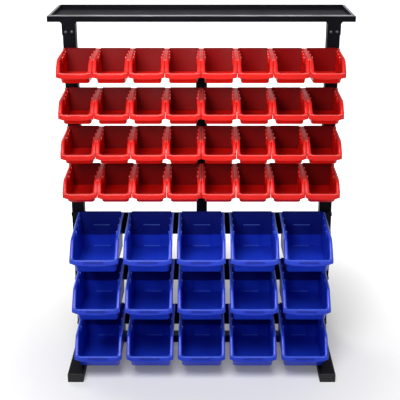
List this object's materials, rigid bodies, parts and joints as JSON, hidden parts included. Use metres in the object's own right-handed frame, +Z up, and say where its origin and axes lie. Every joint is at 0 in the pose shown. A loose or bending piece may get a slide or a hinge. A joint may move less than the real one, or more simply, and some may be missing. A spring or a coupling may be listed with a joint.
{
  "type": "garage storage rack",
  "caption": "Free-standing black steel rack with a top tray and rails that carry rows of small red and large blue hanging hopper bins, each of which lifts off its rail.",
  "frame": {"origin": "on the floor, midway between the feet, under the front faces of the uprights", "axes": "+Z up, -Y towards the front where the bins open, +X to the right seen from the front"},
  "size_m": [0.95, 0.51, 1.133],
  "materials": {
    "black_coat": "satin black powder coat on sheet steel and tube",
    "black_plastic": "moulded black plastic",
    "zinc": "bright zinc plate",
    "red_plastic": "semi-gloss moulded plastic",
    "blue_plastic": "semi-gloss moulded plastic"
  },
  "bodies": {
    "frame": {"left_upright": "black_coat", "right_upright": "black_coat", "left_foot": "black_coat", "right_foot": "black_coat", "foot_end_caps": "black_plastic", "bottom_crossbar": "black_coat", "top_tray": "black_coat", "tray_brackets": "black_coat", "red_bin_rails": "black_coat", "blue_bin_rails": "black_coat", "centre_strut": "black_coat", "bolts": "zinc", "nuts": "zinc"},
    "red_bin_r1_c1": {"red_bin_r1_c1": "red_plastic"},
    "red_bin_r1_c2": {"red_bin_r1_c2": "red_plastic"},
    "red_bin_r1_c3": {"red_bin_r1_c3": "red_plastic"},
    "red_bin_r1_c4": {"red_bin_r1_c4": "red_plastic"},
    "red_bin_r1_c5": {"red_bin_r1_c5": "red_plastic"},
    "red_bin_r1_c6": {"red_bin_r1_c6": "red_plastic"},
    "red_bin_r1_c7": {"red_bin_r1_c7": "red_plastic"},
    "red_bin_r1_c8": {"red_bin_r1_c8": "red_plastic"},
    "red_bin_r2_c1": {"red_bin_r2_c1": "red_plastic"},
    "red_bin_r2_c2": {"red_bin_r2_c2": "red_plastic"},
    "red_bin_r2_c3": {"red_bin_r2_c3": "red_plastic"},
    "red_bin_r2_c4": {"red_bin_r2_c4": "red_plastic"},
    "red_bin_r2_c5": {"red_bin_r2_c5": "red_plastic"},
    "red_bin_r2_c6": {"red_bin_r2_c6": "red_plastic"},
    "red_bin_r2_c7": {"red_bin_r2_c7": "red_plastic"},
    "red_bin_r2_c8": {"red_bin_r2_c8": "red_plastic"},
    "red_bin_r3_c1": {"red_bin_r3_c1": "red_plastic"},
    "red_bin_r3_c2": {"red_bin_r3_c2": "red_plastic"},
    "red_bin_r3_c3": {"red_bin_r3_c3": "red_plastic"},
    "red_bin_r3_c4": {"red_bin_r3_c4": "red_plastic"},
    "red_bin_r3_c5": {"red_bin_r3_c5": "red_plastic"},
    "red_bin_r3_c6": {"red_bin_r3_c6": "red_plastic"},
    "red_bin_r3_c7": {"red_bin_r3_c7": "red_plastic"},
    "red_bin_r3_c8": {"red_bin_r3_c8": "red_plastic"},
    "red_bin_r4_c1": {"red_bin_r4_c1": "red_plastic"},
    "red_bin_r4_c2": {"red_bin_r4_c2": "red_plastic"},
    "red_bin_r4_c3": {"red_bin_r4_c3": "red_plastic"},
    "red_bin_r4_c4": {"red_bin_r4_c4": "red_plastic"},
    "red_bin_r4_c5": {"red_bin_r4_c5": "red_plastic"},
    "red_bin_r4_c6": {"red_bin_r4_c6": "red_plastic"},
    "red_bin_r4_c7": {"red_bin_r4_c7": "red_plastic"},
    "red_bin_r4_c8": {"red_bin_r4_c8": "red_plastic"},
    "blue_bin_r1_c1": {"blue_bin_r1_c1": "blue_plastic"},
    "blue_bin_r1_c2": {"blue_bin_r1_c2": "blue_plastic"},
    "blue_bin_r1_c3": {"blue_bin_r1_c3": "blue_plastic"},
    "blue_bin_r1_c4": {"blue_bin_r1_c4": "blue_plastic"},
    "blue_bin_r1_c5": {"blue_bin_r1_c5": "blue_plastic"},
    "blue_bin_r2_c1": {"blue_bin_r2_c1": "blue_plastic"},
    "blue_bin_r2_c2": {"blue_bin_r2_c2": "blue_plastic"},
    "blue_bin_r2_c3": {"blue_bin_r2_c3": "blue_plastic"},
    "blue_bin_r2_c4": {"blue_bin_r2_c4": "blue_plastic"},
    "blue_bin_r2_c5": {"blue_bin_r2_c5": "blue_plastic"},
    "blue_bin_r3_c1": {"blue_bin_r3_c1": "blue_plastic"},
    "blue_bin_r3_c2": {"blue_bin_r3_c2": "blue_plastic"},
    "blue_bin_r3_c3": {"blue_bin_r3_c3": "blue_plastic"},
    "blue_bin_r3_c4": {"blue_bin_r3_c4": "blue_plastic"},
    "blue_bin_r3_c5": {"blue_bin_r3_c5": "blue_plastic"}
  },
  "joints": [
    {"name": "red_bin_r1_c1_lift", "type": "slide", "parent": "frame", "child": "red_bin_r1_c1", "axis": [0, 0, 1], "range_m": [0, 0.02]},
    {"name": "red_bin_r1_c2_lift", "type": "slide", "parent": "frame", "child": "red_bin_r1_c2", "axis": [0, 0, 1], "range_m": [0, 0.02]},
    {"name": "red_bin_r1_c3_lift", "type": "slide", "parent": "frame", "child": "red_bin_r1_c3", "axis": [0, 0, 1], "range_m": [0, 0.02]},
    {"name": "red_bin_r1_c4_lift", "type": "slide", "parent": "frame", "child": "red_bin_r1_c4", "axis": [0, 0, 1], "range_m": [0, 0.02]},
    {"name": "red_bin_r1_c5_lift", "type": "slide", "parent": "frame", "child": "red_bin_r1_c5", "axis": [0, 0, 1], "range_m": [0, 0.02]},
    {"name": "red_bin_r1_c6_lift", "type": "slide", "parent": "frame", "child": "red_bin_r1_c6", "axis": [0, 0, 1], "range_m": [0, 0.02]},
    {"name": "red_bin_r1_c7_lift", "type": "slide", "parent": "frame", "child": "red_bin_r1_c7", "axis": [0, 0, 1], "range_m": [0, 0.02]},
    {"name": "red_bin_r1_c8_lift", "type": "slide", "parent": "frame", "child": "red_bin_r1_c8", "axis": [0, 0, 1], "range_m": [0, 0.02]},
    {"name": "red_bin_r2_c1_lift", "type": "slide", "parent": "frame", "child": "red_bin_r2_c1", "axis": [0, 0, 1], "range_m": [0, 0.02]},
    {"name": "red_bin_r2_c2_lift", "type": "slide", "parent": "frame", "child": "red_bin_r2_c2", "axis": [0, 0, 1], "range_m": [0, 0.02]},
    {"name": "red_bin_r2_c3_lift", "type": "slide", "parent": "frame", "child": "red_bin_r2_c3", "axis": [0, 0, 1], "range_m": [0, 0.02]},
    {"name": "red_bin_r2_c4_lift", "type": "slide", "parent": "frame", "child": "red_bin_r2_c4", "axis": [0, 0, 1], "range_m": [0, 0.02]},
    {"name": "red_bin_r2_c5_lift", "type": "slide", "parent": "frame", "child": "red_bin_r2_c5", "axis": [0, 0, 1], "range_m": [0, 0.02]},
    {"name": "red_bin_r2_c6_lift", "type": "slide", "parent": "frame", "child": "red_bin_r2_c6", "axis": [0, 0, 1], "range_m": [0, 0.02]},
    {"name": "red_bin_r2_c7_lift", "type": "slide", "parent": "frame", "child": "red_bin_r2_c7", "axis": [0, 0, 1], "range_m": [0, 0.02]},
    {"name": "red_bin_r2_c8_lift", "type": "slide", "parent": "frame", "child": "red_bin_r2_c8", "axis": [0, 0, 1], "range_m": [0, 0.02]},
    {"name": "red_bin_r3_c1_lift", "type": "slide", "parent": "frame", "child": "red_bin_r3_c1", "axis": [0, 0, 1], "range_m": [0, 0.02]},
    {"name": "red_bin_r3_c2_lift", "type": "slide", "parent": "frame", "child": "red_bin_r3_c2", "axis": [0, 0, 1], "range_m": [0, 0.02]},
    {"name": "red_bin_r3_c3_lift", "type": "slide", "parent": "frame", "child": "red_bin_r3_c3", "axis": [0, 0, 1], "range_m": [0, 0.02]},
    {"name": "red_bin_r3_c4_lift", "type": "slide", "parent": "frame", "child": "red_bin_r3_c4", "axis": [0, 0, 1], "range_m": [0, 0.02]},
    {"name": "red_bin_r3_c5_lift", "type": "slide", "parent": "frame", "child": "red_bin_r3_c5", "axis": [0, 0, 1], "range_m": [0, 0.02]},
    {"name": "red_bin_r3_c6_lift", "type": "slide", "parent": "frame", "child": "red_bin_r3_c6", "axis": [0, 0, 1], "range_m": [0, 0.02]},
    {"name": "red_bin_r3_c7_lift", "type": "slide", "parent": "frame", "child": "red_bin_r3_c7", "axis": [0, 0, 1], "range_m": [0, 0.02]},
    {"name": "red_bin_r3_c8_lift", "type": "slide", "parent": "frame", "child": "red_bin_r3_c8", "axis": [0, 0, 1], "range_m": [0, 0.02]},
    {"name": "red_bin_r4_c1_lift", "type": "slide", "parent": "frame", "child": "red_bin_r4_c1", "axis": [0, 0, 1], "range_m": [0, 0.02]},
    {"name": "red_bin_r4_c2_lift", "type": "slide", "parent": "frame", "child": "red_bin_r4_c2", "axis": [0, 0, 1], "range_m": [0, 0.02]},
    {"name": "red_bin_r4_c3_lift", "type": "slide", "parent": "frame", "child": "red_bin_r4_c3", "axis": [0, 0, 1], "range_m": [0, 0.02]},
    {"name": "red_bin_r4_c4_lift", "type": "slide", "parent": "frame", "child": "red_bin_r4_c4", "axis": [0, 0, 1], "range_m": [0, 0.02]},
    {"name": "red_bin_r4_c5_lift", "type": "slide", "parent": "frame", "child": "red_bin_r4_c5", "axis": [0, 0, 1], "range_m": [0, 0.02]},
    {"name": "red_bin_r4_c6_lift", "type": "slide", "parent": "frame", "child": "red_bin_r4_c6", "axis": [0, 0, 1], "range_m": [0, 0.02]},
    {"name": "red_bin_r4_c7_lift", "type": "slide", "parent": "frame", "child": "red_bin_r4_c7", "axis": [0, 0, 1], "range_m": [0, 0.02]},
    {"name": "red_bin_r4_c8_lift", "type": "slide", "parent": "frame", "child": "red_bin_r4_c8", "axis": [0, 0, 1], "range_m": [0, 0.02]},
    {"name": "blue_bin_r1_c1_lift", "type": "slide", "parent": "frame", "child": "blue_bin_r1_c1", "axis": [0, 0, 1], "range_m": [0, 0.025]},
    {"name": "blue_bin_r1_c2_lift", "type": "slide", "parent": "frame", "child": "blue_bin_r1_c2", "axis": [0, 0, 1], "range_m": [0, 0.025]},
    {"name": "blue_bin_r1_c3_lift", "type": "slide", "parent": "frame", "child": "blue_bin_r1_c3", "axis": [0, 0, 1], "range_m": [0, 0.025]},
    {"name": "blue_bin_r1_c4_lift", "type": "slide", "parent": "frame", "child": "blue_bin_r1_c4", "axis": [0, 0, 1], "range_m": [0, 0.025]},
    {"name": "blue_bin_r1_c5_lift", "type": "slide", "parent": "frame", "child": "blue_bin_r1_c5", "axis": [0, 0, 1], "range_m": [0, 0.025]},
    {"name": "blue_bin_r2_c1_lift", "type": "slide", "parent": "frame", "child": "blue_bin_r2_c1", "axis": [0, 0, 1], "range_m": [0, 0.025]},
    {"name": "blue_bin_r2_c2_lift", "type": "slide", "parent": "frame", "child": "blue_bin_r2_c2", "axis": [0, 0, 1], "range_m": [0, 0.025]},
    {"name": "blue_bin_r2_c3_lift", "type": "slide", "parent": "frame", "child": "blue_bin_r2_c3", "axis": [0, 0, 1], "range_m": [0, 0.025]},
    {"name": "blue_bin_r2_c4_lift", "type": "slide", "parent": "frame", "child": "blue_bin_r2_c4", "axis": [0, 0, 1], "range_m": [0, 0.025]},
    {"name": "blue_bin_r2_c5_lift", "type": "slide", "parent": "frame", "child": "blue_bin_r2_c5", "axis": [0, 0, 1], "range_m": [0, 0.025]},
    {"name": "blue_bin_r3_c1_lift", "type": "slide", "parent": "frame", "child": "blue_bin_r3_c1", "axis": [0, 0, 1], "range_m": [0, 0.025]},
    {"name": "blue_bin_r3_c2_lift", "type": "slide", "parent": "frame", "child": "blue_bin_r3_c2", "axis": [0, 0, 1], "range_m": [0, 0.025]},
    {"name": "blue_bin_r3_c3_lift", "type": "slide", "parent": "frame", "child": "blue_bin_r3_c3", "axis": [0, 0, 1], "range_m": [0, 0.025]},
    {"name": "blue_bin_r3_c4_lift", "type": "slide", "parent": "frame", "child": "blue_bin_r3_c4", "axis": [0, 0, 1], "range_m": [0, 0.025]},
    {"name": "blue_bin_r3_c5_lift", "type": "slide", "parent": "frame", "child": "blue_bin_r3_c5", "axis": [0, 0, 1], "range_m": [0, 0.025]}
  ]
}
